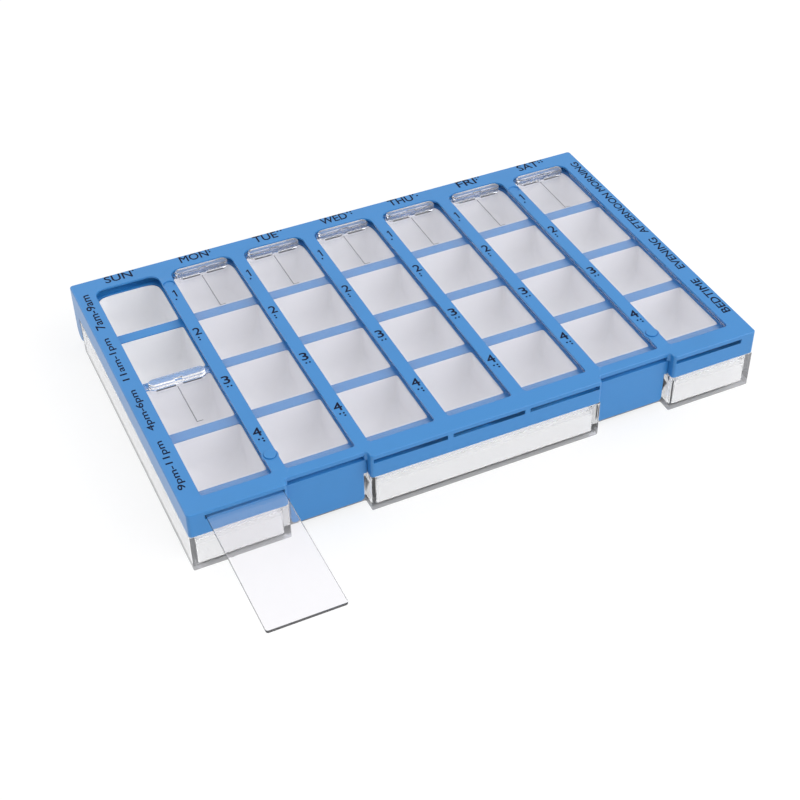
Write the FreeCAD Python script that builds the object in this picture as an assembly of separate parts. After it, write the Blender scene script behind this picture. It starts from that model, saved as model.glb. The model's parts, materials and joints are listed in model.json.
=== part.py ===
"""Weekly pill organizer: seven days by four times of day under sliding lids.

A clear base shell carries a white tray of cups. A cover hinged along the rear
holds one clear sliding lid per day, which runs forward between the top plate
and a guide grid. Two latch tabs hang at the front of the cover.

Frame, in millimetres: +X from the first day to the last, +Y to the rear, +Z up.
The origin is the centre of the underside.
"""
import os

import FreeCAD
import Part

Vector = FreeCAD.Vector
X_AXIS = Vector(1, 0, 0)
TOUCH = 1e-6                 # two numbers this close are the same place
OVER = 1.0                   # a cutting solid runs this far past the face it cuts

# ---- layout of the cups ----
day_names = ("sun", "mon", "tue", "wed", "thu", "fri", "sat")
row_count = 4
column_pitch = 29.3
row_pitch = 29.8
rib = 4.6                    # between neighbouring cups
side_margin = 4.95           # outermost pitch line to the side face
rear_margin = 5.1            # rear pitch line to the rear face
front_margin = 10.1          # front pitch line to the front face

# ---- heights, from the underside up ----
base_floor = 1.8
tray_skin = 1.2              # floor, walls and rim of the moulded tray
cup_depth = 16.6
grid_gap = 0.2               # tray rim to guide grid
grid_thickness = 1.5
slot_height = 1.7
plate_thickness = 1.8
base_height = 15.0           # parting line between base and cover
seam = 0.1                   # cover skirt over the base wall

# ---- walls and fits ----
base_wall = 2.0
skirt_wall = 1.6
tray_fit = 0.3               # tray inside the base, all round
grid_fit = 0.1               # guide grid inside the skirt
rear_step = 2.0              # base's rear wall inside the cover's rear face
rear_skirt_drop = 6.0        # rear skirt below the parting line
strip_width = 4.9            # blue strip between two windows
plate_border = 7.1           # window ends to the front and rear faces
window_corner = 4.0
window_front_corner = 1.2
cell_corner = 1.0
cup_corner = 7.5
post_width = 2.1             # between two lid slots

# ---- sliding lids ----
lid_thickness = 1.2
lid_under_gap = 0.2
lid_side_gap = 0.4
lid_rear_tuck = 0.6          # lid under the rear border
lid_rear_gap = 0.3
lid_set_back = 5.4           # closed lid's front end behind the front face
lid_corner = 0.8
grip_length = 20.8
grip_width = 4.0
grip_height = 2.4
grip_edge = 0.8
grip_rear_gap = 0.5
grip_notch_width = 2.6
grip_notch_depth = 0.7
first_lid_pull = 57.8        # first day's lid stands this far open

# ---- front recesses and latch tabs ----
recess_columns = (1, 5)
recess_depth = 3.1
tab_thickness = 1.6
tab_side_gap = 1.35          # tab to the recess sides, below the skirt
tab_root_gap = 0.15          # the same, at the skirt
tab_top_gap = 0.2
tab_foot_gap = 3.0           # tab's lower edge above the underside
tab_corner = 1.5
tab_base_gap = 0.7
bead_width = 14.0
bead_height = 1.4
bead_proud = 0.3
bead_rise = 1.2              # bead above the tab's lower edge

# ---- rear hinge ----
ear_radius = 4.3
ear_thickness = 3.0
ear_foot_gap = 2.0           # ear's lowest point above the underside
ear_fit = 0.3
pivot_radius = 1.2
pivot_fit = 0.05

# ---- snap studs that pin the guide grid to the cover ----
stud_columns = (0, 5)        # on the strip to the right of these columns
stud_rear_inset = 15.2       # from the rear face
stud_front_inset = 15.4      # from the front face
stud_head_radius = 2.1
stud_head_thickness = 0.8
stud_head_edge = 0.25
stud_rear_sink = 0.4
stud_front_proud = 0.4
stud_shank_wall = 0.45       # left on each side of the shank in the post
stud_boss_radius = 2.85
stud_fit = 0.05

# ---- edges ----
outer_corner = 1.2
outer_edge = 0.5
tray_corner = 3.0            # tray's front corners
tray_other_corner = 1.0      # its recess and rear corners
tray_foot_edge = 1.6
base_foot_edge = 0.6
base_rear_edge = 2.5

# ---- derived places ----
column_count = len(day_names)
middle_column = (column_count - 1) / 2
half_width = column_count * column_pitch / 2 + side_margin
half_depth = (rear_margin + row_count * row_pitch + front_margin) / 2
front_y = -half_depth
rear_y = half_depth
cell_width = column_pitch - rib
cell_length = row_pitch - rib
tray_rim_z = base_floor + tray_skin + cup_depth
grid_z = tray_rim_z + grid_gap
slot_z = grid_z + grid_thickness
plate_z = slot_z + slot_height
top_z = plate_z + plate_thickness
cover_z = base_height + seam
window_width = column_pitch - strip_width
window_front_y = front_y + plate_border
window_rear_y = rear_y - plate_border
slot_width = column_pitch - post_width
slot_rear_y = window_rear_y + lid_rear_tuck + lid_rear_gap
lid_width = slot_width - 2 * lid_side_gap
lid_z = slot_z + lid_under_gap
lid_top_z = lid_z + lid_thickness
lid_front_y = front_y + lid_set_back
lid_rear_y = window_rear_y + lid_rear_tuck
grip_y = window_rear_y - grip_rear_gap - grip_width / 2
recess_y = front_y + recess_depth
tab_rear_y = recess_y + tab_thickness
base_recess_y = tab_rear_y + tab_base_gap
pivot_y = rear_y - ear_radius
pivot_z = ear_foot_gap + ear_radius
ear_x = half_width - ear_thickness
notch_x = ear_x - ear_fit
notch_y = pivot_y - ear_radius - ear_fit
base_rear_y = rear_y - rear_step
stud_shank_radius = post_width / 2 - stud_shank_wall
rear_stud_y = rear_y - stud_rear_inset
front_stud_y = front_y + stud_front_inset
rear_stud_top = top_z - stud_rear_sink
front_stud_top = top_z + stud_front_proud


def column_x(column):
    """Centre of a day's column."""
    return (column - middle_column) * column_pitch


def row_y(row):
    """Centre of a row of cups, counted from the rear."""
    return rear_y - rear_margin - (row + 0.5) * row_pitch


def cells():
    """Centres of all cups."""
    return [
        (column_x(column), row_y(row))
        for column in range(column_count)
        for row in range(row_count)
    ]


def block(x0, x1, y0, y1, z0, z1):
    """Box between two corners."""
    return Part.makeBox(x1 - x0, y1 - y0, z1 - z0, Vector(x0, y0, z0))


def block_about(x, y, width, length, z0, z1):
    """Box centred on an upright line."""
    return block(x - width / 2, x + width / 2, y - length / 2, y + length / 2, z0, z1)


def upright_cylinder(x, y, radius, z0, z1):
    """Cylinder about an upright line."""
    return Part.makeCylinder(radius, z1 - z0, Vector(x, y, z0))


def prism(points, z0, z1):
    """Upright prism on a closed outline of (x, y) points."""
    corners = [Vector(x, y, z0) for x, y in points]
    wire = Part.makePolygon(corners + corners[:1])
    return Part.Face(wire).extrude(Vector(0, 0, z1 - z0))


def edges_where(shape, test):
    """Straight edges whose two end points pass a test."""
    picked = []
    for edge in shape.Edges:
        if len(edge.Vertexes) == 2 and isinstance(edge.Curve, Part.Line):
            start, end = (vertex.Point for vertex in edge.Vertexes)
            if test(start, end):
                picked.append(edge)
    return picked


def anywhere(y):
    """Pass every edge."""
    return True


def round_upright(shape, radius, where=anywhere):
    """Round the upright edges whose Y passes a test."""
    picked = edges_where(
        shape,
        lambda a, b: abs(a.x - b.x) < TOUCH and abs(a.y - b.y) < TOUCH and where(a.y))
    return shape.makeFillet(radius, picked)


def round_level(shape, radius, z):
    """Round every edge that lies in the level plane at z."""
    picked = [
        edge for edge in shape.Edges
        if abs(edge.BoundBox.ZMin - z) < TOUCH and abs(edge.BoundBox.ZMax - z) < TOUCH
    ]
    return shape.makeFillet(radius, picked)


def plan(inset, recess_line, rear_line, notched):
    """Outline of the body, moved inward by inset.

    recess_line is the front face inside the two recesses, rear_line the rear
    face, and notched says if the rear corners are cut back for the hinge ears.
    """
    side = half_width - inset
    front = front_y + inset
    recess = recess_line + inset
    rear = rear_line - inset
    points = [(-side, front)]
    for column in recess_columns:
        left = column_x(column) - column_pitch / 2 - inset
        right = column_x(column) + column_pitch / 2 + inset
        points += [(left, front), (left, recess), (right, recess), (right, front)]
    points.append((side, front))
    if notched:
        step_x = notch_x - inset
        step_y = notch_y - inset
        points += [(side, step_y), (step_x, step_y), (step_x, rear)]
        points += [(-step_x, rear), (-step_x, step_y), (-side, step_y)]
    else:
        points += [(side, rear), (-side, rear)]
    return points


def base_shell():
    """Clear outer box: floor, walls, front recesses and pivot holes."""
    outer = prism(plan(0, base_recess_y, base_rear_y, True), 0, base_height)
    rear_foot = edges_where(
        outer, lambda a, b: min(a.y, b.y) > base_rear_y - TOUCH and max(a.z, b.z) < TOUCH)
    outer = outer.makeFillet(base_rear_edge, rear_foot)
    outer = round_upright(outer, outer_corner, lambda y: y < notch_y - TOUCH)
    foot = edges_where(
        outer, lambda a, b: max(a.z, b.z) < TOUCH and min(a.y, b.y) < notch_y - TOUCH)
    outer = outer.makeFillet(base_foot_edge, foot)
    inner = prism(
        plan(base_wall, base_recess_y, base_rear_y, True), base_floor, base_height + OVER)
    shell = outer.cut(inner)
    holes = [
        Part.makeCylinder(
            pivot_radius + pivot_fit, base_wall + OVER,
            Vector(side * (notch_x - base_wall), pivot_y, pivot_z), side * X_AXIS)
        for side in (-1, 1)
    ]
    return shell.cut(holes)


def cup(x, y, skin, z0, z1):
    """Solid of one cup, grown outward by skin: rounded sides and foot."""
    solid = block_about(x, y, cell_width + 2 * skin, cell_length + 2 * skin, z0, z1)
    solid = round_upright(solid, cup_corner + skin)
    return round_level(solid, cup_corner + skin, z0)


def compartment_tray():
    """White insert: a rim, an outer skirt and one thin cup for each cell."""
    fit = base_wall + tray_fit
    outer = prism(plan(fit, base_recess_y, base_rear_y, True), base_floor, tray_rim_z)
    front = front_y + fit
    outer = round_upright(outer, tray_corner, lambda y: y < front + TOUCH)
    outer = round_upright(outer, tray_other_corner, lambda y: y > front + tray_corner + TOUCH)
    outer = round_level(outer, tray_foot_edge, base_floor)
    hollow = prism(
        plan(fit + tray_skin, base_recess_y, base_rear_y, True),
        base_floor - OVER, tray_rim_z - tray_skin)
    front += tray_skin
    hollow = round_upright(hollow, tray_corner - tray_skin, lambda y: y < front + TOUCH)
    cups = [cup(x, y, tray_skin, base_floor, tray_rim_z) for x, y in cells()]
    wells = [cup(x, y, 0, base_floor + tray_skin, tray_rim_z + OVER) for x, y in cells()]
    return outer.cut(hollow).fuse(cups).cut(wells).removeSplitter()


def ear(side):
    """Hinge ear at a rear corner, with the pivot that enters the base."""
    outer_x = side * half_width
    front = pivot_y - ear_radius
    front_top = Vector(outer_x, front, slot_z)
    front_end = Vector(outer_x, front, pivot_z)
    lowest = Vector(outer_x, pivot_y, pivot_z - ear_radius)
    rear_end = Vector(outer_x, rear_y, pivot_z)
    rear_top = Vector(outer_x, rear_y, slot_z)
    outline = Part.Wire([
        Part.LineSegment(front_top, front_end).toShape(),
        Part.Arc(front_end, lowest, rear_end).toShape(),
        Part.LineSegment(rear_end, rear_top).toShape(),
        Part.LineSegment(rear_top, front_top).toShape(),
    ])
    strap = Part.Face(outline).extrude(-side * ear_thickness * X_AXIS)
    outer_edges = [
        edge for edge in strap.Edges
        if max(abs(vertex.X - outer_x) for vertex in edge.Vertexes) < TOUCH
        and edge.BoundBox.ZMin < slot_z - TOUCH
    ]
    strap = strap.makeFillet(outer_corner, outer_edges)
    pivot = Part.makeCylinder(
        pivot_radius, base_wall + ear_fit,
        Vector(side * (ear_x + ear_fit), pivot_y, pivot_z), -side * X_AXIS)
    return strap.fuse(pivot)


def window(column):
    """Long opening in the top plate over one column."""
    length = window_rear_y - window_front_y
    solid = block_about(
        column_x(column), (window_front_y + window_rear_y) / 2, window_width, length,
        plate_z - slot_height / 2, top_z + OVER)
    solid = round_upright(solid, window_corner, lambda y: y > window_rear_y - TOUCH)
    return round_upright(
        solid, window_front_corner, lambda y: y < window_front_y + TOUCH)


def stud_places(y):
    """Centres of a pair of studs at one end of the cover."""
    return [(column_x(column) + column_pitch / 2, y) for column in stud_columns]


def stud_holes(y, head_top):
    """Clearance for a pair of studs: counterbores and shank holes."""
    holes = []
    for x, place in stud_places(y):
        holes.append(upright_cylinder(
            x, place, stud_head_radius + stud_fit, head_top - stud_head_thickness, top_z + OVER))
        holes.append(upright_cylinder(
            x, place, stud_shank_radius + stud_fit, grid_z - OVER, top_z))
    return holes


def all_stud_holes():
    """Holes for the four studs."""
    return stud_holes(rear_stud_y, rear_stud_top) + stud_holes(front_stud_y, front_stud_top)


def cover_frame():
    """Blue cover: top plate with windows, skirt, lid slots and hinge ears."""
    outer = prism(plan(0, recess_y, rear_y, False), cover_z, top_z)
    outer = round_upright(outer, outer_corner)
    outer = round_level(outer, outer_edge, top_z)
    cavity = prism(plan(skirt_wall, recess_y, rear_y, False), cover_z - OVER, slot_z)
    tab_bays = [
        block(column_x(column) - column_pitch / 2, column_x(column) + column_pitch / 2,
              recess_y - OVER, recess_y + skirt_wall + OVER, cover_z - OVER, slot_z)
        for column in recess_columns
    ]
    slots = [
        block(column_x(column) - slot_width / 2, column_x(column) + slot_width / 2,
              front_y - OVER, slot_rear_y, slot_z, plate_z)
        for column in range(column_count)
    ]
    windows = [window(column) for column in range(column_count)]
    bosses = [
        upright_cylinder(x, y, stud_boss_radius, plate_z, top_z)
        for x, y in stud_places(front_stud_y)
    ]
    rear_skirt = block(
        -ear_x, ear_x, rear_y - skirt_wall, rear_y, cover_z - rear_skirt_drop, slot_z)
    frame = outer.cut([cavity] + tab_bays + slots + windows)
    frame = frame.fuse(bosses + [rear_skirt, ear(-1), ear(1)])
    return frame.cut(all_stud_holes()).removeSplitter()


def grid_opening(x, y):
    """Opening of the guide grid over one cup; the rear row follows the window."""
    hole = block_about(x, y, cell_width, cell_length, grid_z - OVER, slot_z + OVER)
    cell_rear_y = y + cell_length / 2
    in_rear_row = y > row_y(0) - TOUCH
    hole = round_upright(hole, cell_corner, lambda place: place < cell_rear_y - TOUCH)
    rear_corner = window_corner if in_rear_row else cell_corner
    return round_upright(hole, rear_corner, lambda place: place > cell_rear_y - TOUCH)


def guide_grid():
    """Blue lattice below the lids, with one opening over each cup."""
    grid = prism(plan(skirt_wall + grid_fit, recess_y, rear_y, False), grid_z, slot_z)
    ear_room = [
        block(side * half_width - ear_thickness - grid_fit,
              side * half_width + ear_thickness + grid_fit,
              pivot_y - ear_radius - grid_fit, rear_y, grid_z - OVER, slot_z + OVER)
        for side in (-1, 1)
    ]
    openings = [grid_opening(x, y) for x, y in cells()]
    return grid.cut(ear_room + openings + all_stud_holes())


def studs(y, head_top):
    """Pair of snap studs at one end of the cover: head and shank."""
    solids = []
    for x, place in stud_places(y):
        shank = upright_cylinder(x, place, stud_shank_radius, grid_z, head_top - stud_head_edge)
        head = upright_cylinder(
            x, place, stud_head_radius, head_top - stud_head_thickness, head_top)
        head = round_level(head, stud_head_edge, head_top)
        solids.append(shank.fuse(head).removeSplitter())
    return Part.makeCompound(solids)


def grip(x):
    """Raised bar with round ends and a small notch in the middle of its front."""
    end_radius = grip_width / 2
    half_run = grip_length / 2 - end_radius
    foot = lid_z + lid_thickness / 2
    top = lid_top_z + grip_height
    bar = block_about(x, grip_y, 2 * half_run, grip_width, foot, top)
    ends = [
        upright_cylinder(x + side * half_run, grip_y, end_radius, foot, top)
        for side in (-1, 1)
    ]
    bar = round_level(bar.fuse(ends).removeSplitter(), grip_edge, top)
    front = grip_y - end_radius
    notch = block(x - grip_notch_width / 2, x + grip_notch_width / 2,
                  front - OVER, front + grip_notch_depth, lid_top_z, top + OVER)
    return bar.cut(notch)


def sliding_lid(column):
    """Clear lid of one day, in its place at rest."""
    x = column_x(column)
    plate = block(x - lid_width / 2, x + lid_width / 2,
                  lid_front_y, lid_rear_y, lid_z, lid_top_z)
    lid = round_upright(plate, lid_corner).fuse(grip(x)).removeSplitter()
    if column == 0:
        lid.translate(Vector(0, -first_lid_pull, 0))
    return lid


def latch_tab(column):
    """Tab that hangs in a front recess, with a bead on its inner face."""
    x = column_x(column)
    root_half = column_pitch / 2 - tab_root_gap
    foot_half = column_pitch / 2 - tab_side_gap
    root = block(x - root_half, x + root_half, recess_y, tab_rear_y,
                 cover_z, slot_z - tab_top_gap)
    panel = block(x - foot_half, x + foot_half, recess_y, tab_rear_y,
                  tab_foot_gap, slot_z - tab_top_gap)
    lower = edges_where(
        panel,
        lambda a, b: max(a.z, b.z) < tab_foot_gap + TOUCH and abs(a.x - b.x) < TOUCH)
    panel = panel.makeFillet(tab_corner, lower)
    bead_z = tab_foot_gap + bead_rise
    bead = block(x - bead_width / 2, x + bead_width / 2,
                 recess_y + tab_thickness / 2, tab_rear_y + bead_proud,
                 bead_z, bead_z + bead_height)
    return root.fuse([panel, bead]).removeSplitter()


def export(name, shape):
    """Write one node as a STEP file and print what it holds."""
    shape.exportStep(f"parts/{name}.step")
    volume = sum(solid.Volume for solid in shape.Solids)
    cm3 = volume / 1000
    print(f"{name}: {len(shape.Solids)} solid(s), {cm3:.2f} cm3, valid {shape.isValid()}")


def main():
    """Build every node."""
    os.makedirs("parts", exist_ok=True)
    export("base_shell", base_shell())
    export("compartment_tray", compartment_tray())
    export("cover_frame", cover_frame())
    export("guide_grid", guide_grid())
    export("snap_studs_front", studs(front_stud_y, front_stud_top))
    export("snap_studs_rear", studs(rear_stud_y, rear_stud_top))
    for column, day in enumerate(day_names):
        export(f"sliding_lid_{day}", sliding_lid(column))
    for side, column in zip(("left", "right"), recess_columns):
        export(f"latch_tab_{side}", latch_tab(column))
    size = (2 * half_width, 2 * half_depth, top_z)
    print("body", [round(value, 2) for value in size])


main()
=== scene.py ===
"""Looks of the weekly pill organizer: clear base, cup tray, blue cover, seven sliding lids."""

import json
import logging
import math
from dataclasses import dataclass
from enum import Enum
from typing import Any, Callable, Iterable, Sequence

import bmesh
import bpy
from mathutils import Matrix, Vector

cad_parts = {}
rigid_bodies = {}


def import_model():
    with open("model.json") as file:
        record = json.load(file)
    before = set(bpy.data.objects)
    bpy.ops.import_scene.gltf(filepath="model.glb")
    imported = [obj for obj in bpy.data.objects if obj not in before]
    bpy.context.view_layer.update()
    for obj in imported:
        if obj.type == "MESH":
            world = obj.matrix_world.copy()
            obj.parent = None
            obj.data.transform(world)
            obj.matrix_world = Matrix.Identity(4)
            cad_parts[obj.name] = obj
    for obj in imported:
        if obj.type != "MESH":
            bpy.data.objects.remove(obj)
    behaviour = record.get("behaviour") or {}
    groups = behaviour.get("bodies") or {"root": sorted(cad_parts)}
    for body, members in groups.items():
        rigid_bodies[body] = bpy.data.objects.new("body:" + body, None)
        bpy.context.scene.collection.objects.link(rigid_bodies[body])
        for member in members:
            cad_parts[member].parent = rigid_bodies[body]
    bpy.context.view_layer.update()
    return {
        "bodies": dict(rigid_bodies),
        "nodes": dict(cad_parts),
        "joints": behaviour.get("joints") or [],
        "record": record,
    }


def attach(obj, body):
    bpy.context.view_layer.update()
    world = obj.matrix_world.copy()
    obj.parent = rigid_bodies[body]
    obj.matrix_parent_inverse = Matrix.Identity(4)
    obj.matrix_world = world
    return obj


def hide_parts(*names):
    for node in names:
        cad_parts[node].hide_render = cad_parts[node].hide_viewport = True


MM = 0.001
TOUCH = 1e-6
EDGE_STEPS = 3
CURVE_STEPS = 6
PURE_WHITE = (1.0, 1.0, 1.0, 1.0)
SEEN_DIRECTLY = ("Is Camera Ray", "Is Glossy Ray", "Is Transmission Ray")
DAYS = ("sun", "mon", "tue", "wed", "thu", "fri", "sat")
log = logging.getLogger("organizer")


# ---- node trees ----


class Value:
    """A number on a node socket, with Python's operators."""

    def __init__(self, nodes: "Nodes", socket: bpy.types.NodeSocket) -> None:
        """Wrap one output socket of a tree."""
        self.nodes = nodes
        self.socket = socket

    def math(self, operation: str, *others: Any) -> "Value":
        """This value and others, which are numbers or values, put through one Math node."""
        inputs = dict(enumerate((self, *others)))
        return self.nodes.value("ShaderNodeMath", inputs, operation=operation)

    def __add__(self, other: Any) -> "Value":
        """Sum."""
        return self.math("ADD", other)

    def __mul__(self, other: Any) -> "Value":
        """Product."""
        return self.math("MULTIPLY", other)

    def __sub__(self, other: Any) -> "Value":
        """Difference."""
        return self.math("SUBTRACT", other)

    def __rsub__(self, other: Any) -> "Value":
        """Difference, with this value taken away."""
        return self.math("MULTIPLY_ADD", -1.0, other)

    def __truediv__(self, other: Any) -> "Value":
        """Quotient."""
        return self.math("DIVIDE", other)

    def __rtruediv__(self, other: Any) -> "Value":
        """Quotient, with this value below the line."""
        return self.math("POWER", -1.0) * other

    def limited(self) -> "Value":
        """This value kept between 0 and 1."""
        return self.math("MINIMUM", 1.0).math("MAXIMUM", 0.0)

    def over(self, edge: float, blur: float) -> "Value":
        """0 below an edge and 1 above it, with a soft step as wide as the blur between."""
        return ((self - (edge - blur / 2)) / blur).limited()

    def within(self, low: float, high: float, blur: float) -> "Value":
        """1 between two edges and 0 outside them, with soft steps as wide as the blur."""
        return self.over(low, blur) * (1 - self.over(high, blur))


class Nodes:
    """Builds the nodes of one tree."""

    def __init__(self, tree: bpy.types.NodeTree) -> None:
        """Start on an emptied tree."""
        tree.nodes.clear()
        self.tree = tree

    def plug(self, socket: bpy.types.NodeSocket, value: Any) -> None:
        """Set or link an input socket.

        Args:
            socket: The input socket.
            value: A number or colour to set, or a value, node or socket to link.
        """
        if isinstance(value, Value):
            value = value.socket
        elif isinstance(value, bpy.types.Node):
            value = value.outputs[0]
        if isinstance(value, bpy.types.NodeSocket):
            self.tree.links.new(value, socket)
        else:
            socket.default_value = value

    def add(
        self, kind: str, inputs: dict[Any, Any] | None = None, **settings: Any
    ) -> bpy.types.Node:
        """Add one node.

        Args:
            kind: The node's type.
            inputs: Values or links of its sockets, by name or number.
            settings: The node's own settings, set first.

        Returns:
            The node.
        """
        node = self.tree.nodes.new(kind)
        for name, value in settings.items():
            setattr(node, name, value)
        for key, value in (inputs or {}).items():
            self.plug(node.inputs[key], value)
        return node

    def value(self, kind: str, inputs: dict[Any, Any], **settings: Any) -> Value:
        """Add one node and wrap its first output."""
        return Value(self, self.add(kind, inputs, **settings).outputs[0])

    def axes(self, source: Any) -> tuple[Value, Value, Value]:
        """The three parts of a vector."""
        node = self.add("ShaderNodeSeparateXYZ", {0: source})
        return tuple(Value(self, out) for out in node.outputs)

    def blend(self, factor: Any, first: Any, second: Any) -> bpy.types.NodeSocket:
        """The socket of two mixed colours. The factor is the share of the second."""
        node = self.add("ShaderNodeMix", {0: factor, 6: first, 7: second}, data_type="RGBA")
        return node.outputs[2]


Colour = tuple[float, float, float]
Point = tuple[float, float, float]
Word = tuple[str, float, float]


def rgba(colour: Colour, times: float = 1.0) -> tuple[float, float, float, float]:
    """A linear colour as four numbers, made lighter or darker."""
    return tuple(min(1.0, part * times) for part in colour) + (1.0,)


def new_material(name: str) -> tuple[bpy.types.Material, Nodes, Any]:
    """Start a material.

    Args:
        name: Its name.

    Returns:
        The material, its nodes, and the Object coordinates.
    """
    material = bpy.data.materials.new(name)
    material.use_nodes = True
    nodes = Nodes(material.node_tree)
    place = nodes.add("ShaderNodeTexCoord").outputs["Object"]
    return material, nodes, place


def ray_kinds(nodes: Nodes, *kinds: str) -> Value:
    """Tell some kinds of rays from the others.

    Args:
        nodes: The tree's nodes.
        kinds: The Light Path node's names of the kinds.

    Returns:
        1 for rays of these kinds, else 0.
    """
    path = nodes.add("ShaderNodeLightPath").outputs
    first, *others = (Value(nodes, path[kind]) for kind in kinds)
    return sum(others, first).limited()


# ---- finishes ----


@dataclass(frozen=True)
class MouldedPlastic:
    """Opaque moulded plastic: even colour, faint clouding, fine spark-grain."""

    name: str
    colour: Colour
    roughness: float = 0.35
    roughness_spread: float = 0.06
    coat: float = 0.0
    coat_roughness: float = 0.2
    clouding: float = 0.04
    cloud_scale: float = 38.0
    cloud_edge: float = 0.35
    cloud_blur: float = 0.3
    specular: float = 0.5
    grain_size: float = 0.35 * MM
    grain_height: float = 0.004 * MM

    def material(self) -> bpy.types.Material:
        """Build the material.

        Returns:
            The material.
        """
        material, nodes, place = new_material(self.name)
        clouds = nodes.value("ShaderNodeTexNoise", {
            "Vector": place, "Scale": self.cloud_scale, "Detail": 3.0, "Roughness": 0.55})
        grain = nodes.value("ShaderNodeTexNoise", {
            "Vector": place, "Scale": 1.0 / self.grain_size, "Detail": 2.0, "Roughness": 0.6})
        colour = nodes.blend(
            clouds.over(self.cloud_edge, self.cloud_blur),
            rgba(self.colour, 1 - self.clouding), rgba(self.colour, 1 + self.clouding))
        bump = nodes.add("ShaderNodeBump", {
            "Strength": 1.0, "Distance": self.grain_height, "Height": grain})
        shader = nodes.add("ShaderNodeBsdfPrincipled", {
            "Base Color": colour,
            "Roughness": clouds * self.roughness_spread
            + (self.roughness - self.roughness_spread / 2),
            "Specular IOR Level": self.specular,
            "Coat Weight": self.coat, "Coat Roughness": self.coat_roughness,
            "Normal": bump})
        nodes.add("ShaderNodeOutputMaterial", {0: shader})
        return material


@dataclass(frozen=True)
class ClearPlastic:
    """Clear plastic: it bends light, lets lamps through, greys with depth and can be frosted."""

    name: str
    colour: Colour
    depth_colour: Colour
    depth: float
    haze: float
    frost: float
    frosted_run: tuple[float, float]
    frost_edge: float = 0.2 * MM
    frost_colour: Colour = (0.9, 0.9, 0.92)
    mottle: float = 0.01
    roughness: float = 0.02
    refraction: float = 1.47
    wave_scale: float = 55.0
    wave_height: float = 0.001 * MM

    def material(self) -> bpy.types.Material:
        """Build the material.

        Returns:
            The material.
        """
        material, nodes, place = new_material(self.name)
        _, _, level = nodes.axes(place)
        wave = nodes.value("ShaderNodeTexNoise", {
            "Vector": place, "Scale": self.wave_scale, "Detail": 1.0})
        bump = nodes.add("ShaderNodeBump", {
            "Strength": 1.0, "Distance": self.wave_height, "Height": wave})
        clear = nodes.add("ShaderNodeBsdfPrincipled", {
            "Base Color": nodes.blend(
                wave, rgba(self.colour, 1 - self.mottle), rgba(self.colour, 1 + self.mottle)),
            "Roughness": wave * self.roughness + self.roughness,
            "IOR": self.refraction, "Transmission Weight": 1.0 - self.haze, "Normal": bump})
        passing = ray_kinds(nodes, "Is Shadow Ray", "Is Diffuse Ray")
        open_air = nodes.add("ShaderNodeBsdfTransparent", {"Color": PURE_WHITE})
        white = nodes.add("ShaderNodeBsdfDiffuse", {"Color": rgba(self.frost_colour)})
        frosting = level.within(*self.frosted_run, self.frost_edge) * self.frost
        solid = nodes.add("ShaderNodeMixShader", {0: frosting, 1: clear, 2: white})
        surface = nodes.add("ShaderNodeMixShader", {0: passing, 1: solid, 2: open_air})
        body = nodes.add("ShaderNodeVolumeAbsorption", {
            "Color": rgba(self.depth_colour), "Density": 1.0 / self.depth})
        nodes.add("ShaderNodeOutputMaterial", {"Surface": surface, "Volume": body})
        return material


class Finish(Enum):
    """The object's finishes."""

    BLUE = MouldedPlastic("blue_moulded_plastic", (0.029, 0.228, 0.572), coat=0.2)
    WHITE = MouldedPlastic(
        "white_moulded_plastic", (0.92, 0.92, 0.94), roughness=0.4, clouding=0.01)
    INK = MouldedPlastic("navy_print", (0.004, 0.008, 0.030), roughness=0.6, specular=0.12)
    BOX = ClearPlastic(
        "clear_box_plastic", (0.985, 0.985, 0.99), (0.60, 0.61, 0.63), 90 * MM, haze=0.03,
        frost=0.2, frosted_run=(-1.0 * MM, 2.1 * MM))
    LID = ClearPlastic(
        "clear_lid_plastic", (0.955, 0.945, 0.97), (0.60, 0.60, 0.66), 60 * MM, haze=0.02,
        frost=0.14, frosted_run=(22.85 * MM, 26.0 * MM))
    # Dark grey for the lids' real centre lines and ticks, and also for the painted shade strip
    # along each grip's front foot
    SCORE_AND_SHADE = MouldedPlastic("grey_score_and_painted_shade_line", (0.06, 0.06, 0.075), roughness=0.5)

    def __init__(self, recipe: Any) -> None:
        """Keep the recipe."""
        self.recipe = recipe

    @property
    def material(self) -> bpy.types.Material:
        """The finish's material, built once."""
        return bpy.data.materials.get(self.recipe.name) or self.recipe.material()


# ---- shaping ----


def add_object(name: str, data: bpy.types.ID) -> bpy.types.Object:
    """Put something in the scene as an object at the origin.

    Args:
        name: The object's name.
        data: Its mesh, curve, camera or lamp.

    Returns:
        The object.
    """
    piece = bpy.data.objects.new(name, data)
    bpy.context.scene.collection.objects.link(piece)
    return piece


def mount(
    piece: bpy.types.Object, body: str, nodes: Sequence[str] = ()
) -> None:
    """Tie a finished piece to its body.

    Args:
        piece: The piece.
        body: The body it moves with.
        nodes: The solids it stands for.
    """
    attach(piece, body)
    if nodes:
        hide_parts(*nodes)
    log.info("%s rides on %s: %d faces", piece.name, body, len(piece.data.polygons))


def finished(
    shape: bmesh.types.BMesh, name: str, finish: Finish | None = None
) -> bpy.types.Object:
    """Put a finished shape in the scene and free it.

    Args:
        shape: The shape.
        name: Name of the new object and its mesh.
        finish: Its finish, if it has one yet.

    Returns:
        The new object.
    """
    mesh = bpy.data.meshes.new(name)
    shape.to_mesh(mesh)
    shape.free()
    if finish:
        mesh.materials.append(finish.material)
    return add_object(name, mesh)


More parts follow.
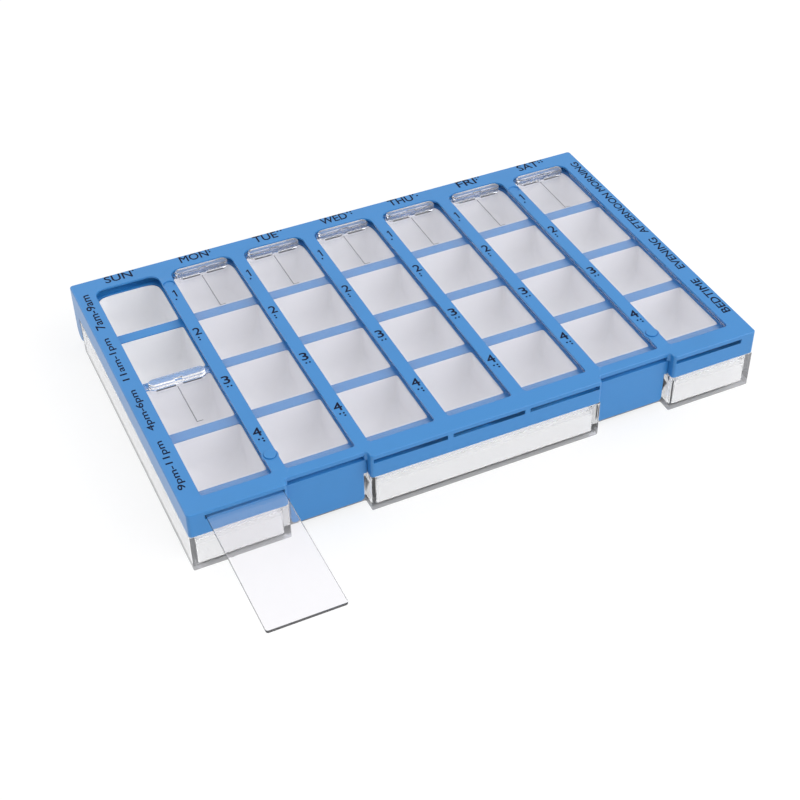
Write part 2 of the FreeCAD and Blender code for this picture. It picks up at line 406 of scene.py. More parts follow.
def merged_copy(
    node: bpy.types.Object, name: str, reshape: Callable[[Vector], None] | None = None,
    flat_within: float = 0.7, level: float = 0.9, busy_face: int = 40
) -> bpy.types.Object:
    """Copy a solid's mesh, with its triangles merged, its flats made whole and its ridges marked.

    Args:
        node: The solid's object.
        name: The copy's name.
        reshape: What to do with each point first, if anything.
        flat_within: Angle, in degrees, up to which neighbours count as one flat.
        level: How far up or down a level face's normal points, at least.
        busy_face: Corners above which a level face is cut into triangles again.

    Returns:
        The new object.
    """
    shape = bmesh.new()
    shape.from_mesh(node.data)
    bmesh.ops.remove_doubles(shape, verts=shape.verts, dist=TOUCH)
    if reshape:
        for vert in shape.verts:
            reshape(vert.co)
    bmesh.ops.dissolve_limit(
        shape, angle_limit=math.radians(flat_within), verts=shape.verts, edges=shape.edges)
    shape.normal_update()
    bmesh.ops.triangulate(shape, faces=[
        face for face in shape.faces
        if abs(face.normal.z) > level and len(face.verts) > busy_face])
    mark_ridges(shape)
    return finished(shape, name)


def mark_ridges(shape: bmesh.types.BMesh, sharpest: float = 32.0) -> None:
    """Give every sharp outer edge a full bevel weight.

    Args:
        shape: The mesh.
        sharpest: Angle, in degrees, from which an edge counts as sharp.
    """
    shape.normal_update()
    weight = shape.edges.layers.float.new("bevel_weight_edge")
    for edge in shape.edges:
        sharp = edge.is_manifold and edge.calc_face_angle(0.0) > math.radians(sharpest)
        edge[weight] = 1.0 if sharp and edge.is_convex else 0.0


def soften(piece: bpy.types.Object, width: float, finish: Finish) -> None:
    """Round a piece's marked ridges and dress it.

    Args:
        piece: The piece.
        width: Width of the rounded edge.
        finish: Its finish.
    """
    piece.data.materials.clear()
    piece.data.materials.append(finish.material)
    bevel = piece.modifiers.new("round edges", "BEVEL")
    bevel.width = width
    bevel.segments = 2
    bevel.limit_method = "WEIGHT"
    bevel.use_clamp_overlap = False
    bevel.loop_slide = False
    piece.modifiers.new("close slivers", "WELD").merge_threshold = TOUCH
    even_shading(piece)


def even_shading(piece: bpy.types.Object) -> None:
    """Let large faces lead the shading of the small ones beside them.

    Args:
        piece: The piece.
    """
    for face in piece.data.polygons:
        face.use_smooth = True
    weighted = piece.modifiers.new("even shading", "WEIGHTED_NORMAL")
    weighted.mode = "FACE_AREA"
    weighted.weight = 80
    weighted.keep_sharp = True


def quarter(steps: int) -> list[tuple[float, float]]:
    """Points along a rounded edge: what closes from 1 to 0, and what opens from 0 to 1."""
    turns = [step / steps * math.pi / 2 for step in range(steps + 1)]
    return [(1 - math.sin(turn), 1 - math.cos(turn)) for turn in turns]


def rounded_outline(corners: Sequence[tuple[float, float, float]], steps: int) -> list[Vector]:
    """Round the corners of a closed outline.

    Args:
        corners: x, y and radius of each corner, in order.
        steps: Points along each arc, less one.

    Returns:
        The outline's points.
    """
    points = []
    for index, (x, y, radius) in enumerate(corners):
        here = Vector((x, y))
        before = (Vector(corners[index - 1][:2]) - here).normalized()
        after = (Vector(corners[(index + 1) % len(corners)][:2]) - here).normalized()
        centre = here + (before + after) * radius
        for step in range(steps + 1):
            turn = step / steps * math.pi / 2
            points.append(
                centre - after * (radius * math.cos(turn)) - before * (radius * math.sin(turn)))
    return points


def join_rings(shape: bmesh.types.BMesh, rings: Sequence[Sequence[bmesh.types.BMVert]]) -> None:
    """Join closed rings of points with faces.

    Args:
        shape: The mesh.
        rings: The rings, each of which is joined to the one after it.
    """
    for upper, lower in zip(rings, rings[1:]):
        for index in range(len(upper)):
            onward = (index + 1) % len(upper)
            shape.faces.new((upper[index], lower[index], lower[onward], upper[onward]))


def ring_at(
    shape: bmesh.types.BMesh, outline: Sequence[Vector], z: float
) -> list[bmesh.types.BMVert]:
    """Points of a level outline."""
    return [shape.verts.new((point.x, point.y, z)) for point in outline]


def add_slab(
    shape: bmesh.types.BMesh, corners: Sequence[tuple[float, float]], z: float, height: float
) -> None:
    """Add a closed upright slab.

    Args:
        shape: The mesh that gathers it.
        corners: Its outline, anticlockwise.
        z: Level it stands on.
        height: Its height.
    """
    outline = [Vector(corner) for corner in corners]
    upper, lower = ring_at(shape, outline, z + height), ring_at(shape, outline, z)
    join_rings(shape, [upper, lower])
    shape.faces.new(upper)
    shape.faces.new(lower[::-1])


def fill_level(shape: bmesh.types.BMesh, level: float) -> None:
    """Close the flat between all open edges at one level.

    Args:
        shape: The mesh.
        level: Their level.
    """
    border = [edge for edge in shape.edges if edge.is_boundary
              and all(abs(vert.co.z - level) < TOUCH for vert in edge.verts)]
    bmesh.ops.triangle_fill(shape, edges=border, use_beauty=True, use_dissolve=False)


def run_tree(name: str, tree: bpy.types.NodeTree, inputs: dict[str, Any]) -> bpy.types.Mesh:
    """Run a Geometry Nodes tree once.

    Args:
        name: Name of the resulting mesh.
        tree: The tree.
        inputs: Its inputs, by name.

    Returns:
        The plain mesh that it makes.
    """
    carrier = add_object(name, bpy.data.meshes.new(name))
    modifier = carrier.modifiers.new("tree", "NODES")
    modifier.node_group = tree
    for item in tree.interface.items_tree:
        if item.in_out == "INPUT" and item.name in inputs:
            modifier[item.identifier] = inputs[item.name]
    bpy.context.view_layer.update()
    evaluated = carrier.evaluated_get(bpy.context.evaluated_depsgraph_get())
    mesh = bpy.data.meshes.new_from_object(evaluated)
    mesh.name = name
    worn = [material for material in mesh.materials if material]
    mesh.materials.clear()
    for material in worn:
        mesh.materials.append(material)
    for face in mesh.polygons:
        face.material_index = 0
    bpy.data.objects.remove(carrier)
    return mesh


def start_tree(name: str, inputs: dict[str, str]) -> tuple[Nodes, Callable[[str], Value]]:
    """Start a Geometry Nodes tree.

    Args:
        name: The tree's name.
        inputs: Kind of each named input, such as Float.

    Returns:
        The tree's nodes, and a function from an input's name to its value.
    """
    tree = bpy.data.node_groups.new(name, "GeometryNodeTree")
    tree.interface.new_socket(name="Geometry", in_out="OUTPUT", socket_type="NodeSocketGeometry")
    for label, kind in inputs.items():
        tree.interface.new_socket(name=label, in_out="INPUT", socket_type="NodeSocket" + kind)
    nodes = Nodes(tree)
    entry = nodes.add("NodeGroupInput")
    return nodes, lambda label: Value(nodes, entry.outputs[label])


def repeat(nodes: Nodes, material: Value, inputs: dict[str, Any]) -> bpy.types.NodeTree:
    """End a tree with a piece repeated on points.

    Args:
        nodes: The tree's nodes.
        material: The pieces' material.
        inputs: The points, the piece and its scale.

    Returns:
        The tree.
    """
    spread = nodes.add("GeometryNodeInstanceOnPoints", inputs)
    real = nodes.add("GeometryNodeRealizeInstances", {0: spread})
    dressed = nodes.add("GeometryNodeSetMaterial", {"Geometry": real, "Material": material})
    nodes.add("NodeGroupOutput", {0: dressed})
    return nodes.tree


# ---- sub-assemblies ----


@dataclass
class Lattice:
    """Places of the seven columns and four rows."""

    pitch_x: float = 29.3 * MM
    pitch_y: float = 29.8 * MM
    middle_y: float = 2.5 * MM
    rows: int = 4

    def x(self, column: float) -> float:
        """Centre of a column, counted from the left."""
        return (column - (len(DAYS) - 1) / 2) * self.pitch_x

    def y(self, row: float) -> float:
        """Centre of a row, counted from the rear."""
        return self.middle_y + ((self.rows - 1) / 2 - row) * self.pitch_y


@dataclass
class BodyPlan:
    """Outline of the body: two front recesses and two rear notches."""

    lattice: Lattice
    half_width: float = 107.5 * MM
    front_y: float = -67.2 * MM
    recess_y: float = -61.8 * MM
    rear_y: float = 65.2 * MM
    notch_x: float = 104.2 * MM
    notch_y: float = 58.3 * MM
    recess_columns: tuple[int, int] = (1, 5)

    def outline(self, inset: float, front: float, other: float, steps: int = 6) -> list[Vector]:
        """The outline, moved inward, anticlockwise from above.

        Args:
            inset: How far it is moved.
            front: Radius of the front corners.
            other: Radius of the other corners.
            steps: Points along each corner's arc, less one.

        Returns:
            Its points.
        """
        half, pitch = self.half_width - inset, self.lattice.pitch_x / 2 + inset
        front_y, recess_y = self.front_y + inset, self.recess_y + inset
        notch_x, notch_y, rear_y = (
            edge - inset for edge in (self.notch_x, self.notch_y, self.rear_y))
        corners = [(-half, front_y, front)]
        for column in self.recess_columns:
            left, right = self.lattice.x(column) - pitch, self.lattice.x(column) + pitch
            corners += [(left, front_y, front), (left, recess_y, other),
                        (right, recess_y, other), (right, front_y, front)]
        corners += [
            (half, front_y, front), (half, notch_y, other), (notch_x, notch_y, other),
            (notch_x, rear_y, other), (-notch_x, rear_y, other), (-notch_x, notch_y, other),
            (-half, notch_y, other)]
        return rounded_outline(corners, steps)


@dataclass
class ClearBase:
    """Clear outer box: floor and walls that follow the body's plan."""

    plan: BodyPlan
    height: float = 15.0 * MM
    floor: float = 1.8 * MM
    wall: float = 2.0 * MM
    corner: float = 0.5 * MM
    inner_corner: float = 0.8 * MM
    edge: float = 0.25 * MM
    sharpest: float = 50.0

    def build(self) -> None:
        """Make the box as one closed shell."""
        outer = self.plan.outline(0.0, self.corner, self.corner)
        inner = self.plan.outline(self.wall, self.inner_corner, self.inner_corner)
        shape = bmesh.new()
        rings = [ring_at(shape, outline, z) for outline, z in (
            (inner, self.floor), (inner, self.height), (outer, self.height), (outer, 0.0))]
        join_rings(shape, rings)
        shape.faces.new(rings[0])
        shape.faces.new(rings[-1])
        bmesh.ops.recalc_face_normals(shape, faces=shape.faces)
        mark_ridges(shape, self.sharpest)
        shell = finished(shape, "base_shell_clear")
        soften(shell, self.edge, Finish.BOX)
        mount(shell, "base", ["base_shell"])


@dataclass
class CupTray:
    """White insert: twenty-eight scooped cups with thin collars, one rim and an outer skirt."""

    lattice: Lattice
    plan: BodyPlan
    rim_z: float = 19.6 * MM
    collar_z: float = 21.1 * MM
    collar: float = 0.3 * MM
    foot_z: float = 1.8 * MM
    cup_floor_z: float = 3.0 * MM
    mouth_width: float = 23.9 * MM
    mouth_length: float = 24.4 * MM
    cup_foot: float = 8.0 * MM
    rim_squareness: float = 30.0
    window_squareness: float = 6.0
    floor_squareness: float = 2.6
    fade_power: float = 4.0
    rear_blend: float = 1e-3
    tile_margin: float = 0.5 * MM
    inset: float = 2.3 * MM
    front_corner: float = 3.2 * MM
    other_corner: float = 1.0 * MM
    foot_edge: float = 1.6 * MM
    foot_turn: float = 80.0
    top_edge: float = 0.4 * MM
    skin: float = 1.15 * MM
    side_steps: int = 32
    collar_steps: int = 4
    wall_steps: int = 3
    foot_steps: int = 9

    def cup_tree(self) -> bpy.types.NodeTree:
        """Tree of the field of cups.

        Returns:
            A tree that bends a grid into one cup and repeats it over the lattice.
        """
        nodes, given = start_tree("field of cups", {
            **dict.fromkeys((
                "Pitch Across", "Pitch Along", "Middle", "Half Width", "Half Length", "Foot",
                "Collar", "Collar Top", "Margin", "Rim", "Floor", "Front Squareness",
                "Rear Squareness", "Floor Squareness"), "Float"),
            "Columns": "Int", "Rows": "Int", "Material": "Material"})
        wall_ring = 2 + self.collar_steps
        foot_ring = wall_ring + self.wall_steps
        last = foot_ring + self.foot_steps + 1
        sheet = nodes.add("GeometryNodeMeshGrid", {
            "Size X": 1.0, "Size Y": 1.0,
            "Vertices X": self.side_steps + 1, "Vertices Y": last + 1})
        u, v, _ = nodes.axes(nodes.add("GeometryNodeInputPosition"))
        step = ((u + 0.5) * self.side_steps).math("ROUND").math("MODULO", self.side_steps)
        turn = (step + 0.5) * (2 * math.pi / self.side_steps)
        ring = ((v + 0.5) * last).math("ROUND")
        raised = (ring - 1).limited()
        over = ((ring - 2) / self.collar_steps).limited() * math.pi
        down = ((ring - wall_ring) / self.wall_steps).limited()
        foot_turn = ((ring - foot_ring) / self.foot_steps).limited() * (math.pi / 2)
        foot, rim, floor = given("Foot"), given("Rim"), given("Floor")
        half_collar = given("Collar") * 0.5
        shoulder = given("Collar Top") - half_collar
        grown = (
            (1 - ring.limited()) * given("Margin") + half_collar * (over.math("COSINE") + 1)
            - foot * (1 - foot_turn.math("COSINE")))
        height = (
            rim + raised * (shoulder - rim) + half_collar * over.math("SINE")
            - down * (shoulder - floor - foot) - foot * foot_turn.math("SINE"))
        depth = ((ring - wall_ring) / (self.wall_steps + self.foot_steps)).limited()
        to_rear = turn.math("SINE").over(0.0, self.rear_blend)
        front, low = given("Front Squareness"), given("Floor Squareness")
        square = front + to_rear * (given("Rear Squareness") - front)
        power = 2.0 / (low + (1 - depth).math("POWER", self.fade_power) * (square - low))
        open_ring = 1 - (ring - (last - 1)).limited()
        placed = nodes.add("ShaderNodeCombineXYZ", {2: height})
        for axis, wave, half in ((0, "COSINE", "Half Width"), (1, "SINE", "Half Length")):
            along = turn.math(wave)
            nodes.plug(
                placed.inputs[axis],
                along.math("SIGN") * along.math("ABSOLUTE").math("POWER", power)
                * (given(half) + grown) * open_ring)
        bowl = nodes.add("GeometryNodeSetPosition", {"Geometry": sheet, "Position": placed})
        cup = nodes.add("GeometryNodeMergeByDistance", {"Geometry": bowl, "Distance": TOUCH})
        columns, rows = given("Columns"), given("Rows")
        places = nodes.add("GeometryNodeMeshGrid", {
            "Size X": given("Pitch Across") * (columns - 1),
            "Size Y": given("Pitch Along") * (rows - 1),
            "Vertices X": columns, "Vertices Y": rows})
        places = nodes.add("GeometryNodeTransform", {
            "Geometry": places,
            "Translation": nodes.add("ShaderNodeCombineXYZ", {1: given("Middle")})})
        return repeat(nodes, given("Material"), {"Points": places, "Instance": cup})

    def add_cups(
        self, shape: bmesh.types.BMesh, tree: bpy.types.NodeTree,
        skin: float, collar: float, top: float
    ) -> float:
        """Add one skin of the field of cups.

        Args:
            shape: The mesh that gathers the tray.
            tree: The tree of the field.
            skin: How far this skin lies outside the cups' inner face.
            collar: Thickness of the collars.
            top: Level of the collars' tops.

        Returns:
            Level of this skin's flat rim.
        """
        rim = self.rim_z - skin
        for row, rows, rear in (
            (0.0, 1, self.window_squareness),
            (self.lattice.rows / 2, self.lattice.rows - 1, self.rim_squareness),
        ):
            cups = run_tree("cups", tree, {
                "Pitch Across": self.lattice.pitch_x, "Pitch Along": self.lattice.pitch_y,
                "Middle": self.lattice.y(row), "Half Width": self.mouth_width / 2 + skin,
                "Half Length": self.mouth_length / 2 + skin, "Foot": self.cup_foot + skin,
                "Collar": collar, "Collar Top": top, "Margin": self.tile_margin, "Rim": rim,
                "Floor": self.cup_floor_z - skin, "Front Squareness": self.rim_squareness,
                "Rear Squareness": rear, "Floor Squareness": self.floor_squareness,
                "Columns": len(DAYS), "Rows": rows, "Material": Finish.WHITE.material})
            shape.from_mesh(cups)
            bpy.data.meshes.remove(cups)
        return rim

    def skirt_levels(self) -> list[tuple[float, float]]:
        """Inset and level of the skirt's rings, from the rim down outside and up inside.

        Returns:
            The rings' insets and levels.
        """
        levels = [(self.top_edge * closing, self.rim_z - self.top_edge * opening)
                  for closing, opening in quarter(EDGE_STEPS)]
        turns = [math.radians(self.foot_turn) * step / CURVE_STEPS
                 for step in range(CURVE_STEPS + 1)]
        for reach, order in ((self.foot_edge, turns), (self.foot_edge - self.skin, turns[::-1])):
            for turn in order:
                levels.append((self.foot_edge - reach * math.cos(turn),
                               self.foot_z + self.foot_edge - reach * math.sin(turn)))
        levels.append((self.skin, self.rim_z - self.skin))
        return levels

    def build(self) -> None:
        """Make the cups' two skins, the rim and the skirt, and close them into one body."""
        tree = self.cup_tree()
        shape = bmesh.new()
        rims = [
            self.add_cups(shape, tree, 0.0, self.collar, self.collar_z),
            self.add_cups(shape, tree, self.skin, 0.0, self.rim_z - self.skin)]
        join_rings(shape, [
            ring_at(shape, self.plan.outline(
                self.inset + inset, max(self.front_corner - inset, self.top_edge),
                self.other_corner), z)
            for inset, z in self.skirt_levels()])
        bmesh.ops.dissolve_degenerate(shape, dist=TOUCH / 10, edges=shape.edges)
        for level in rims:
            fill_level(shape, level)
        bmesh.ops.dissolve_degenerate(shape, dist=TOUCH, edges=shape.edges)
        bmesh.ops.recalc_face_normals(shape, faces=shape.faces)
        open_edges = sum(1 for edge in shape.edges if not edge.is_manifold)
        log.info("tray: %d open edges, volume %.2f cm3", open_edges, shape.calc_volume() * 1e6)
        piece = finished(shape, "compartment_tray_white", Finish.WHITE)
        even_shading(piece)
        mount(piece, "base", ["compartment_tray"])


@dataclass
class HingedCover:
    """Blue cover: top plate, guide grid, snap studs and the two latch tabs."""

    frame: dict[str, Any]
    edge: float = 0.16 * MM
    slot_roof_z: float = 23.0 * MM
    lip_z: float = 23.9 * MM
    front_y: float = -61.0 * MM
    bodies: tuple[tuple[str, str], ...] = (
        ("cover_frame", "cover"), ("guide_grid", "cover"), ("snap_studs_front", "cover"),
        ("snap_studs_rear", "cover"), ("latch_tab_left", "latch_left"),
        ("latch_tab_right", "latch_right"))

    def thin_lip(self, point: Vector) -> None:
        """Lift the slots' roof behind the front border, so the windows end in a thin lip."""
        if abs(point.z - self.slot_roof_z) < 10 * TOUCH and point.y > self.front_y:
            point.z = self.lip_z

    def build(self) -> None:
        """Soften every blue solid."""
        for node, body in self.bodies:
            reshape = self.thin_lip if node == "cover_frame" else None
            piece = merged_copy(self.frame["nodes"][node], node + "_blue", reshape)
            soften(piece, self.edge, Finish.BLUE)
            mount(piece, body, [node])


@dataclass
class SlidingLid:
    """One clear lid: the plate with its grip bar, the fine dark centre line on it, and a painted
    shade strip along the grip's front foot.
    """

    lattice: Lattice
    day: str
    half_width: float = 13.2 * MM
    front_y: float = -61.8 * MM
    rear_y: float = 60.7 * MM
    under_z: float = 21.5 * MM
    top_z: float = 22.7 * MM
    corner: float = 0.8 * MM
    edge: float = 0.15 * MM
    grip_y: float = 57.6 * MM
    grip_half_length: float = 10.4 * MM
    grip_radius: float = 2.0 * MM
    grip_top_z: float = 25.1 * MM
    grip_edge: float = 0.8 * MM
    notch_half_width: float = 1.3 * MM
    notch_depth: float = 0.7 * MM
    first_pull: float = 57.8 * MM
    line_x: float = -0.9 * MM
    line_width: float = 0.22 * MM
    line_height: float = 0.03 * MM
    line_run: tuple[float, float] = (34.3 * MM, 54.6 * MM)
    tick: float = 2.2 * MM
    # Depth of the dark strip painted along the grip's front foot, standing in for shade; no real
    # line is there
    painted_foot_shade: float = 0.6 * MM

    @property
    def x(self) -> float:
        """Middle of the lid's column."""
        return self.lattice.x(DAYS.index(self.day))

    @property
    def pull(self) -> float:
        """How far forward the lid stands at rest."""
        return self.first_pull if self.day == DAYS[0] else 0.0

    def plate_outline(self, inset: float) -> list[Vector]:
        """The plate's outline.

        Args:
            inset: How far it is moved inward.

        Returns:
            Its points, anticlockwise.
        """
        half, front = self.half_width - inset, self.front_y - self.pull + inset
        rear, radius = self.rear_y - self.pull - inset, self.corner - inset / 2
        return rounded_outline((
            (self.x - half, front, radius), (self.x + half, front, radius),
            (self.x + half, rear, radius), (self.x - half, rear, radius)), 5)

    def grip_outline(self, inset: float, steps: int = 10) -> list[Vector]:
        """The grip bar's outline with the notch in its front, moved inward.

        Args:
            inset: How far it is moved.
            steps: Segments of each half of a round end.

        Returns:
            Its points, anticlockwise.
        """
        y, radius = self.grip_y - self.pull, self.grip_radius - inset
        run = self.grip_half_length - self.grip_radius
        points = []
        for side in (1, -1):
            for step in range(2 * steps + 1):
                turn = side * (step / steps - 1) * math.pi / 2
                points.append(Vector((
                    self.x + side * (run + radius * math.cos(turn)), y + radius * math.sin(turn))))
        half, front = self.notch_half_width + inset, y - radius
        back = y - self.grip_radius + self.notch_depth + inset
        points += [Vector((self.x - half, front)), Vector((self.x - half, back)),
                   Vector((self.x + half, back)), Vector((self.x + half, front))]
        return points

    def plate(self) -> bpy.types.Object:
        """The plate and its grip.

        Returns:
            One closed body.
        """
        shape = bmesh.new()
        edge = quarter(EDGE_STEPS)
        lower = [(self.edge * closing, self.under_z + self.edge * opening)
                 for closing, opening in edge]
        upper = [(self.edge * opening, self.top_z - self.edge * closing)
                 for closing, opening in edge]
        plate = [ring_at(shape, self.plate_outline(inset), z) for inset, z in lower + upper]
        grip = [ring_at(shape, self.grip_outline(0.0), self.top_z)]
        grip += [ring_at(
            shape, self.grip_outline(self.grip_edge * opening),
            self.grip_top_z - self.grip_edge * closing)
            for closing, opening in quarter(CURVE_STEPS)]
        join_rings(shape, plate)
        join_rings(shape, grip)
        shape.faces.new(plate[0])
        shape.faces.new(grip[-1])
        fill_level(shape, self.top_z)
        bmesh.ops.recalc_face_normals(shape, faces=shape.faces)
        piece = finished(shape, f"lid_{self.day}_clear", Finish.LID)
        even_shading(piece)
        return piece

    def centre_line_and_foot_shade(self) -> bpy.types.Object:
        """The fine centre line and its tick, and a painted shade strip along the grip's front
        foot, all on the plate's upper face.

        Returns:
            One piece that holds them all.
        """
        x = self.x + self.line_x
        low, high = (place - self.pull for place in self.line_run)
        half = self.line_width / 2
        grip = self.grip_y - self.pull - self.grip_radius
        run = self.grip_half_length - self.grip_radius
        left, right = self.x - self.notch_half_width, self.x + self.notch_half_width
        foot = grip - self.painted_foot_shade
        shape = bmesh.new()
        for outline in (
            ((x - half, low - 2 * half), (x + self.tick, low - 2 * half), (x + self.tick, low),
             (x + half, low), (x + half, high), (x - half, high)),
            # The next two strips are painted shade along the grip's front foot, one on each side
            # of the notch
            ((self.x - run, foot), (left, foot), (left, grip), (self.x - run, grip)),
            ((right, foot), (self.x + run, foot), (self.x + run, grip), (right, grip)),
        ):
            add_slab(shape, outline, self.top_z, self.line_height)
        return finished(shape, f"lid_{self.day}_line", Finish.SCORE_AND_SHADE)

    def build(self) -> None:
        """Make the lid's two pieces."""
        body = f"lid_{self.day}"
        mount(self.plate(), body, [f"sliding_lid_{self.day}"])
        mount(self.centre_line_and_foot_shade(), body)


class Facing(Enum):
    """Which way a legend reads."""

    UPRIGHT = "upright"
    UP_THE_SIDE = "up the side"


def numeral_one() -> bpy.types.Mesh:
    """A numeral one with a short flag.

    Returns:
        Its mesh, a slab.
    """
    shape = bmesh.new()
    add_slab(shape, (
        (0.52, 0.0), (1.0, 0.0), (1.0, 1.0), (0.6, 1.0), (0.0, 0.82), (0.0, 0.68), (0.52, 0.8)),
        0.0, 1.0)
    mesh = bpy.data.meshes.new("numeral one")
    shape.to_mesh(mesh)
    shape.free()
    return mesh


@dataclass(frozen=True)
class Legend:
    """One word and the rectangle that its letters fill, in millimetres."""

    words: str
    x0: float
    x1: float
    y0: float
    y1: float
    facing: Facing = Facing.UPRIGHT
    weight: float = 0.012

    def add_to(self, shape: bmesh.types.BMesh, z: float, thickness: float) -> None:
        """Add the letters to a mesh.

        Args:
            shape: The mesh that gathers the letters.
            z: Level they stand on.
            thickness: Their thickness.
        """
        curve = bpy.data.curves.new("legend", "FONT")
        curve.body = self.words
        curve.extrude = 0.5
        curve.bevel_depth = self.weight
        curve.bevel_resolution = 0
        curve.resolution_u = 4
        carrier = add_object("legend", curve)
        evaluated = carrier.evaluated_get(bpy.context.evaluated_depsgraph_get())
        mesh = numeral_one() if self.words == "1" else bpy.data.meshes.new_from_object(evaluated)
        if self.facing is Facing.UP_THE_SIDE:
            mesh.transform(Matrix.Rotation(math.pi / 2, 4, "Z"))
        low = [min(vert.co[axis] for vert in mesh.vertices) for axis in range(3)]
        high = [max(vert.co[axis] for vert in mesh.vertices) for axis in range(3)]
        goal = ((self.x0 * MM, self.x1 * MM), (self.y0 * MM, self.y1 * MM), (z, z + thickness))
        for vert in mesh.vertices:
            for axis, (start, end) in enumerate(goal):
                share = (vert.co[axis] - low[axis]) / (high[axis] - low[axis])
                vert.co[axis] = start + share * (end - start)
        shape.from_mesh(mesh)
        bpy.data.objects.remove(carrier)
        bpy.data.curves.remove(curve)
        bpy.data.meshes.remove(mesh)


@dataclass
class Print:
    """Printed day names, row numbers and times, and the raised reading dots."""

    lattice: Lattice
    plate_z: float = 24.8 * MM
    thickness: float = 0.03 * MM
    dot_sides: int = 10
    dot_radius: float = 0.36 * MM
    dot_height: float = 0.28 * MM
    dot_pitch: float = 1.35 * MM
    day_dots_gap: float = 0.9
    day_dots_y: float = 66.3
    digit_dots_back: float = 0.6
    digit_dots_gap: float = 1.6
    days: tuple[Word, ...] = (
        ("SUN", -94.5, -83.9), ("MON", -64.8, -53.5), ("TUE", -34.6, -24.9), ("WED", -6.3, 4.8),
        ("THU", 23.2, 33.7), ("FRI", 53.8, 62.0), ("SAT", 81.8, 91.2))
    day_y: tuple[float, float] = (62.6, 66.8)
    digit_top: tuple[float, ...] = (47.6, 22.6, -7.5, -37.4)
    digit_height: float = 4.3
    digit_width: tuple[float, ...] = (1.1, 2.6, 2.7, 3.0)
    sides: tuple[tuple[str, float, float, tuple[Word, ...]], ...] = (
        ("print_times", -105.7, -102.4, (
            ("7am-9am", 36.3, 58.9), ("11am-1pm", 5.1, 30.6), ("4pm-6pm", -23.7, -0.9),
            ("9pm-11pm", -54.9, -29.7))),
        ("print_parts", 103.0, 106.2, (
            ("MORNING", 35.1, 58.7), ("AFTERNOON", 2.4, 33.1), ("EVENING", -23.4, -1.6),
            ("BEDTIME", -53.3, -31.1))))
    cells: tuple[tuple[int, ...], ...] = (
        (1,), (1, 2), (1, 4), (1, 4, 5), (1, 5), (1, 2, 4), (1, 2, 4, 5))

    def words(self, name: str, legends: Iterable[Legend]) -> None:
        """Make one printed piece.

        Args:
            name: The piece's name.
            legends: What is printed.
        """
        shape = bmesh.new()
        for legend in legends:
            legend.add_to(shape, self.plate_z, self.thickness)
        mount(finished(shape, name, Finish.INK), "cover")

    def dot_tree(self) -> bpy.types.NodeTree:
        """Tree of the reading dots.

        Returns:
            A tree that sets a low dome on every point of a mesh.
        """
        nodes, given = start_tree("reading dots", {
            "Points": "Object", "Radius": "Float", "Height": "Float", "Material": "Material"})
        places = nodes.add("GeometryNodeObjectInfo", {"Object": given("Points")})
        ball = nodes.add("GeometryNodeMeshUVSphere", {
            "Segments": self.dot_sides, "Rings": CURVE_STEPS, "Radius": 1.0})
        smooth = nodes.add("GeometryNodeSetShadeSmooth", {"Geometry": ball})
        size = nodes.add("ShaderNodeCombineXYZ", {
            0: given("Radius"), 1: given("Radius"), 2: given("Height")})
        return repeat(nodes, given("Material"), {
            "Points": places.outputs["Geometry"], "Instance": smooth, "Scale": size})

    def dots(self, number: int, x: float, y: float) -> list[Point]:
        """Places of one reading cell's dots.

        Args:
            number: The number that the cell says.
            x: Left column of the cell, in millimetres.
            y: Top row of the cell, in millimetres.

        Returns:
            Dot centres on the plate.
        """
        return [
            (x * MM + (dot > 3) * self.dot_pitch, y * MM - ((dot - 1) % 3) * self.dot_pitch,
             self.plate_z) for dot in self.cells[number - 1]]

    def build(self) -> None:
        """Print the plate."""
        self.words("print_days", (
            Legend(name, x0, x1, *self.day_y) for name, x0, x1 in self.days))
        digits, points = [], []
        for column in range(len(DAYS) - 1):
            strip = self.lattice.x(column + 0.5) / MM
            for row, top in enumerate(self.digit_top):
                half = self.digit_width[row] / 2
                digits.append(Legend(
                    str(row + 1), strip - half, strip + half, top - self.digit_height, top))
                points += self.dots(
                    row + 1, strip - self.digit_dots_back,
                    top - self.digit_height - self.digit_dots_gap)
        self.words("print_digits", digits)
        for piece, x0, x1, words in self.sides:
            self.words(piece, (
                Legend(name, x0, x1, y0, y1, Facing.UP_THE_SIDE) for name, y0, y1 in words))
        for number, (_, _, right) in enumerate(self.days, start=1):
            points += self.dots(number, right + self.day_dots_gap, self.day_dots_y)
        cloud = bpy.data.meshes.new("dot places")
        cloud.from_pydata(points, [], [])
        carrier = add_object("dot_places", cloud)
        mesh = run_tree("reading_dots", self.dot_tree(), {
            "Points": carrier, "Radius": self.dot_radius, "Height": self.dot_height,
            "Material": Finish.INK.material})
        bpy.data.objects.remove(carrier)
        mount(add_object("reading_dots", mesh), "cover")


# ---- studio ----


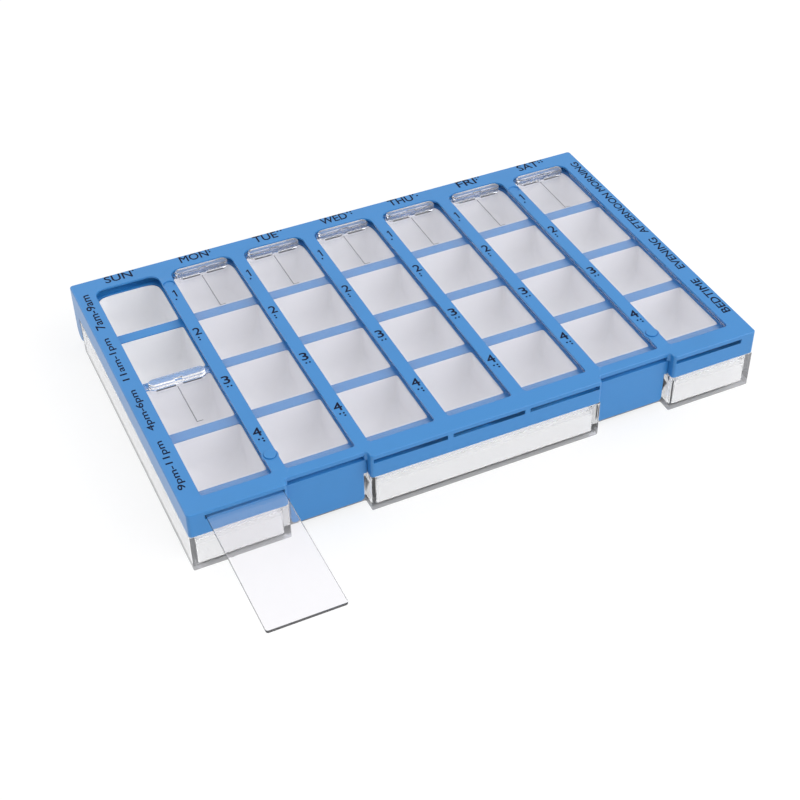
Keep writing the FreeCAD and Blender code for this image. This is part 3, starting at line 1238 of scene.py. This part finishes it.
@dataclass
class Studio:
    """Pale floor, soft light and the camera."""

    eye: Point = (-184.38, -399.53, 364.11)
    right: Point = (0.90587, -0.42339, -0.01162)
    up: Point = (0.28635, 0.59197, 0.75337)
    lens: float = 68.107
    sensor: float = 36.0
    world_light: float = 0.62
    lamps: tuple[tuple[str, Point, tuple[float, float], float], ...] = (
        ("rear_softbox", (-0.45, 1.0, 1.4), (1.0, 2.4), 8.8),
        ("front_softbox", (0.8, -0.9, 0.88), (1.5, 1.5), 12.0))
    floor_half: float = 4.0
    floor_z: float = -0.2 * MM
    floor_tones: tuple[Colour, Colour] = ((0.78, 0.78, 0.79), (0.80, 0.80, 0.80))
    floor_glow: float = 0.74
    floor_shade: float = 0.30
    bounces: int = 24
    clear_bounces: int = 32

    def camera(self) -> None:
        """Set the camera."""
        data = bpy.data.cameras.new("camera")
        data.lens = self.lens
        data.sensor_width = self.sensor
        data.sensor_fit = "HORIZONTAL"
        data.clip_start = 0.01
        camera = add_object("camera", data)
        right, up = Vector(self.right).normalized(), Vector(self.up).normalized()
        back = right.cross(up)
        turn = Matrix((right, up, back)).transposed().to_4x4()
        camera.matrix_world = Matrix.Translation(Vector(self.eye) * MM) @ turn
        bpy.context.scene.camera = camera

    def world(self) -> None:
        """White all round, softer as a light than as a backdrop."""
        world = bpy.data.worlds.new("studio")
        world.use_nodes = True
        bpy.context.scene.world = world
        nodes = Nodes(world.node_tree)
        seen = ray_kinds(nodes, *SEEN_DIRECTLY)
        sky = nodes.add("ShaderNodeBackground", {
            "Color": PURE_WHITE,
            "Strength": seen * (1.0 - self.world_light) + self.world_light})
        nodes.add("ShaderNodeOutputWorld", {0: sky})

    def floor(self) -> None:
        """A wide pale floor that keeps a light shadow."""
        mesh = bpy.data.meshes.new("floor")
        half, z = self.floor_half, self.floor_z
        mesh.from_pydata([(-half, -half, z), (half, -half, z), (half, half, z), (-half, half, z)],
                         [], [(0, 1, 2, 3)])
        floor = add_object("floor", mesh)
        material, nodes, place = new_material("pale_floor")
        cloud = nodes.value("ShaderNodeTexNoise", {"Vector": place, "Scale": 3.0})
        paper = nodes.add("ShaderNodeBsdfDiffuse", {
            "Color": nodes.blend(cloud, *(rgba(tone) for tone in self.floor_tones))})
        shade = nodes.add("ShaderNodeBsdfDiffuse", {
            "Color": rgba(PURE_WHITE[:3], self.floor_shade)})
        glow = nodes.add("ShaderNodeEmission", {"Color": PURE_WHITE, "Strength": self.floor_glow})
        pale = nodes.add("ShaderNodeAddShader", {0: shade, 1: glow})
        both = nodes.add("ShaderNodeMixShader", {
            0: ray_kinds(nodes, *SEEN_DIRECTLY), 1: paper, 2: pale})
        nodes.add("ShaderNodeOutputMaterial", {0: both})
        mesh.materials.append(material)

    def lamp(self, name: str, place: Vector, size: tuple[float, float], power: float) -> None:
        """Hang one soft lamp that looks at the object.

        Args:
            name: Its name.
            place: Where it hangs, in metres.
            size: Its width and length, in metres.
            power: Its power, in watts.
        """
        data = bpy.data.lights.new(name, "AREA")
        data.shape = "RECTANGLE"
        data.size, data.size_y = size
        data.energy = power
        lamp = add_object(name, data)
        turn = (-place).to_track_quat("-Z", "Y").to_matrix().to_4x4()
        lamp.matrix_world = Matrix.Translation(place) @ turn

    def build(self) -> None:
        """Light the scene and set the camera."""
        scene = bpy.context.scene
        scene.view_settings.view_transform = "Standard"
        scene.cycles.transparent_max_bounces = self.clear_bounces
        scene.cycles.max_bounces = self.bounces
        scene.cycles.transmission_bounces = self.bounces
        self.world()
        self.floor()
        for name, place, size, power in self.lamps:
            self.lamp(name, Vector(place), size, power)
        self.camera()


def main() -> None:
    """Build the organizer's pieces in order and light them."""
    logging.basicConfig(level=logging.INFO, format="%(message)s")
    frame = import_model()
    lattice = Lattice()
    plan = BodyPlan(lattice)
    ClearBase(plan).build()
    CupTray(lattice, plan).build()
    HingedCover(frame).build()
    for day in DAYS:
        SlidingLid(lattice, day).build()
    Print(lattice).build()
    Studio().build()
    bpy.context.view_layer.update()


if __name__ == "__main__":
    main()
